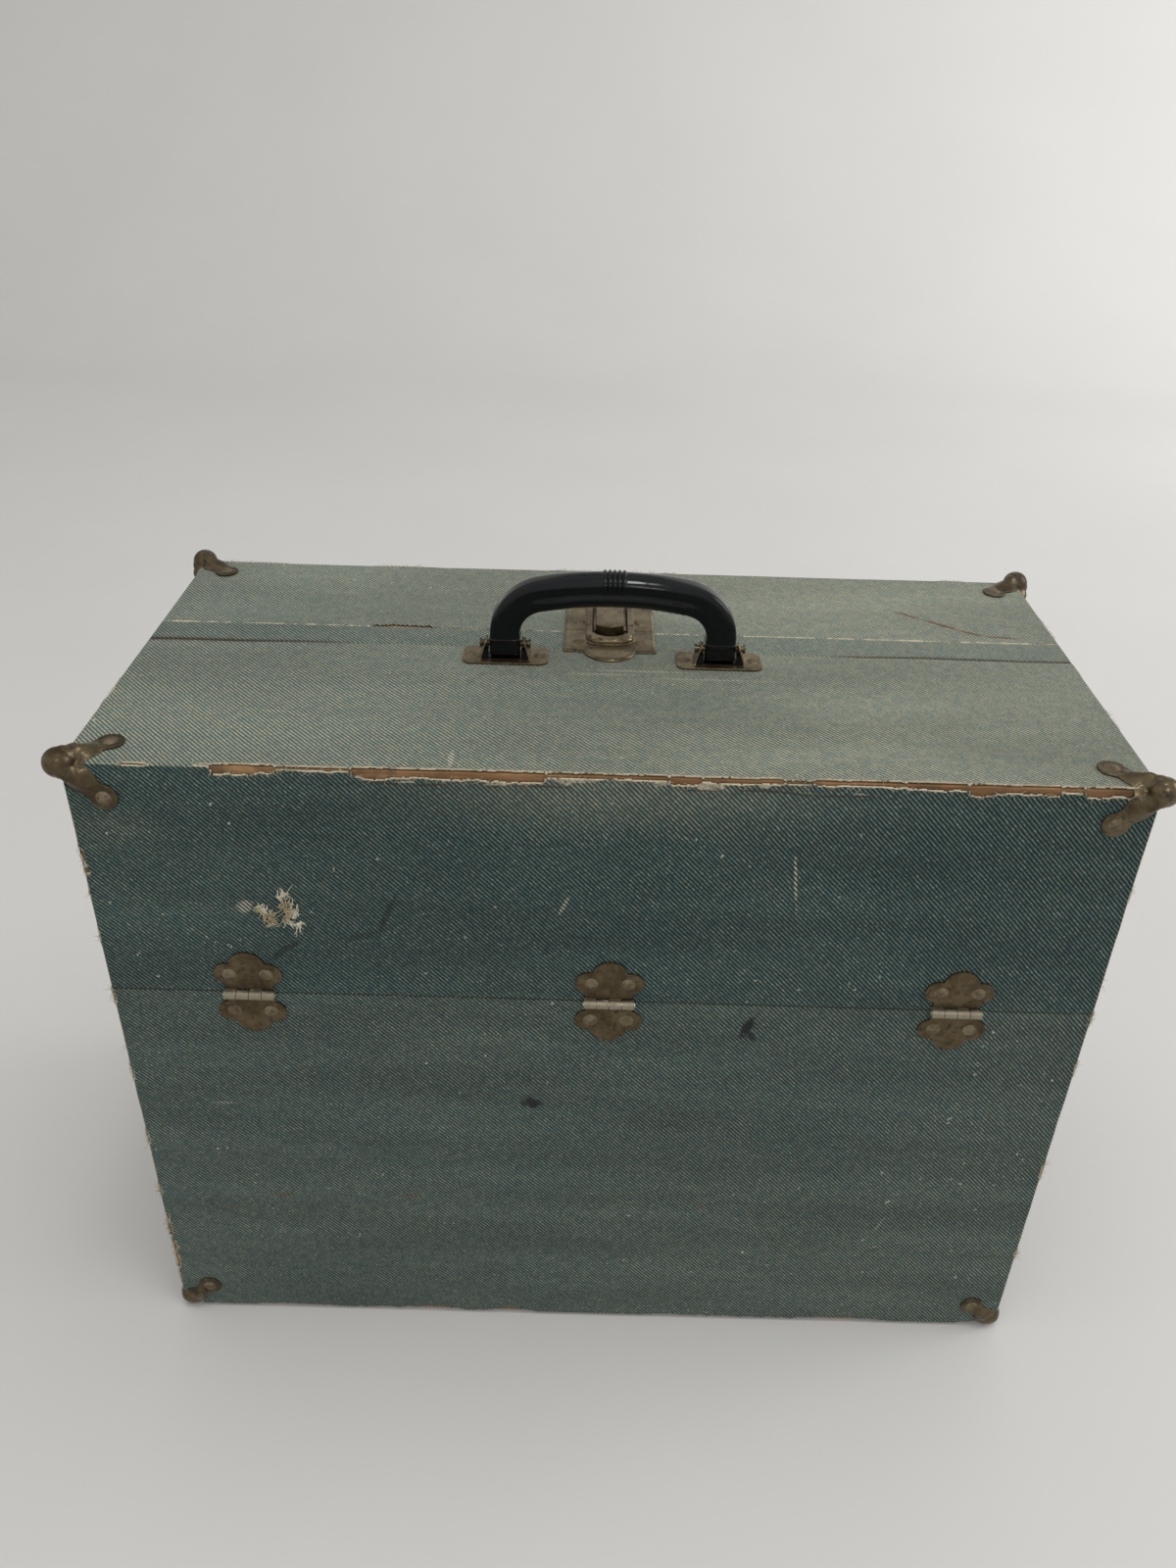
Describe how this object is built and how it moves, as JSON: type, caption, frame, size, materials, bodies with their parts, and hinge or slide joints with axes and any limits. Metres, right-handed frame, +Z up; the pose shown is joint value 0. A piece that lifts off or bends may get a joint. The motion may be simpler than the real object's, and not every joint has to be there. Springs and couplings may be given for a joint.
{
  "type": "sewing box",
  "caption": "Portable cloth-covered wooden sewing box whose top opens outwards as two hinged lids carrying cantilever trays, with a folding carry handle and a flip latch.",
  "frame": {"origin": "centre of the footprint on the floor the box stands on", "axes": "+X along the long side, -Y towards the near hinged wall, +Z up"},
  "size_m": [0.4698, 0.2336, 0.4033],
  "materials": {
    "case_wood": "bare planed board",
    "cover_cloth": "worn twill cloth",
    "black_plastic": "moulded, glossy",
    "cap_brass": "tarnished",
    "rivet_brass": "tarnished",
    "hinge_brass": "tarnished, worn knuckles",
    "latch_brass": "satin, worn",
    "pin_steel": "plain",
    "spring_steel": "blued",
    "arm_steel": "plated strip",
    "tray_wood": "varnished",
    "tray_floor_ply": "plywood"
  },
  "bodies": {
    "case_base": {"base_left_end": "case_wood", "base_right_end": "case_wood", "base_near_wall": "case_wood", "base_far_wall": "case_wood", "base_bottom": "case_wood", "base_cloth": "cover_cloth", "bottom_corner_caps": "cap_brass", "base_rivets": "rivet_brass", "near_hinge_lower_leaves": "hinge_brass", "far_hinge_lower_leaves": "hinge_brass", "arm_pivot_pins": "pin_steel"},
    "near_lid": {"near_lid_wall": "case_wood", "near_lid_top": "case_wood", "near_lid_left_cheek": "case_wood", "near_lid_right_cheek": "case_wood", "near_lid_cloth": "cover_cloth", "near_lid_corner_caps": "cap_brass", "near_lid_rivets": "rivet_brass", "near_hinge_upper_leaves": "hinge_brass", "near_hinge_pins": "pin_steel", "near_tray_pins": "pin_steel", "near_lid_edge_rail": "case_wood", "left_handle_plate": "latch_brass", "right_handle_plate": "latch_brass", "handle_foot_spacers": "black_plastic", "handle_pins": "pin_steel", "latch_keeper_plate": "latch_brass", "catch_spring": "spring_steel"},
    "far_lid": {"far_lid_wall": "case_wood", "far_lid_top": "case_wood", "far_lid_left_cheek": "case_wood", "far_lid_right_cheek": "case_wood", "far_lid_cloth": "cover_cloth", "far_lid_corner_caps": "cap_brass", "far_lid_rivets": "rivet_brass", "far_hinge_upper_leaves": "hinge_brass", "far_hinge_pins": "pin_steel", "far_tray_pins": "pin_steel", "latch_base_plate": "latch_brass", "hasp_pin": "pin_steel"},
    "handle": {"handle_grip": "black_plastic"},
    "latch_hasp": {"hasp": "latch_brass"},
    "near_tray_arms": {"near_left_arm": "arm_steel", "near_right_arm": "arm_steel"},
    "near_lower_tray": {"near_lower_tray_frame": "tray_wood", "near_lower_tray_floor": "tray_floor_ply", "near_lower_tray_dividers": "tray_wood"},
    "near_upper_tray": {"near_upper_tray_frame": "tray_wood", "near_upper_tray_floor": "tray_floor_ply", "near_upper_tray_dividers": "tray_wood", "near_upper_tray_brackets": "arm_steel"},
    "far_tray_arms": {"far_left_arm": "arm_steel", "far_right_arm": "arm_steel"},
    "far_lower_tray": {"far_lower_tray_frame": "tray_wood", "far_lower_tray_floor": "tray_floor_ply", "far_lower_tray_dividers": "tray_wood"},
    "far_upper_tray": {"far_upper_tray_frame": "tray_wood", "far_upper_tray_floor": "tray_floor_ply", "far_upper_tray_dividers": "tray_wood", "far_upper_tray_brackets": "arm_steel"}
  },
  "joints": [
    {"name": "near_lid_hinge", "type": "hinge", "parent": "case_base", "child": "near_lid", "pos_m": [0, -0.1128, 0.2354], "axis": [1, 0, 0], "range_deg": [0, 90]},
    {"name": "far_lid_hinge", "type": "hinge", "parent": "case_base", "child": "far_lid", "pos_m": [0, 0.1128, 0.2354], "axis": [-1, 0, 0], "range_deg": [0, 90]},
    {"name": "near_arm_pivot", "type": "hinge", "parent": "case_base", "child": "near_tray_arms", "pos_m": [0, -0.0828, 0.2254], "axis": [1, 0, 0], "range_deg": [0, 90]},
    {"name": "near_lower_tray_pivot", "type": "hinge", "parent": "near_lid", "child": "near_lower_tray", "pos_m": [0, -0.0728, 0.2554], "axis": [1, 0, 0], "range_deg": [-90, 0]},
    {"name": "near_upper_tray_pivot", "type": "hinge", "parent": "near_lid", "child": "near_upper_tray", "pos_m": [0, -0.0328, 0.2754], "axis": [1, 0, 0], "range_deg": [-90, 0]},
    {"name": "far_arm_pivot", "type": "hinge", "parent": "case_base", "child": "far_tray_arms", "pos_m": [0, 0.0888, 0.2264], "axis": [-1, 0, 0], "range_deg": [0, 90]},
    {"name": "far_lower_tray_pivot", "type": "hinge", "parent": "far_lid", "child": "far_lower_tray", "pos_m": [0, 0.0868, 0.2574], "axis": [-1, 0, 0], "range_deg": [-90, 0]},
    {"name": "far_upper_tray_pivot", "type": "hinge", "parent": "far_lid", "child": "far_upper_tray", "pos_m": [0, 0.0608, 0.2794], "axis": [-1, 0, 0], "range_deg": [-90, 0]},
    {"name": "handle_swing", "type": "hinge", "parent": "near_lid", "child": "handle", "pos_m": [0.0006, -0.0025, 0.3659], "axis": [1, 0, 0], "range_deg": [-65, 80]},
    {"name": "hasp_flip", "type": "hinge", "parent": "far_lid", "child": "latch_hasp", "pos_m": [-0.0005, 0.0615, 0.3626], "axis": [-1, 0, 0], "range_deg": [0, 100]}
  ],
  "couplings": [
    {"joint": "near_arm_pivot", "follows": "near_lid_hinge", "ratio": 1},
    {"joint": "near_lower_tray_pivot", "follows": "near_lid_hinge", "ratio": -1},
    {"joint": "near_upper_tray_pivot", "follows": "near_lid_hinge", "ratio": -1},
    {"joint": "far_arm_pivot", "follows": "far_lid_hinge", "ratio": 1},
    {"joint": "far_lower_tray_pivot", "follows": "far_lid_hinge", "ratio": -1},
    {"joint": "far_upper_tray_pivot", "follows": "far_lid_hinge", "ratio": -1}
  ]
}
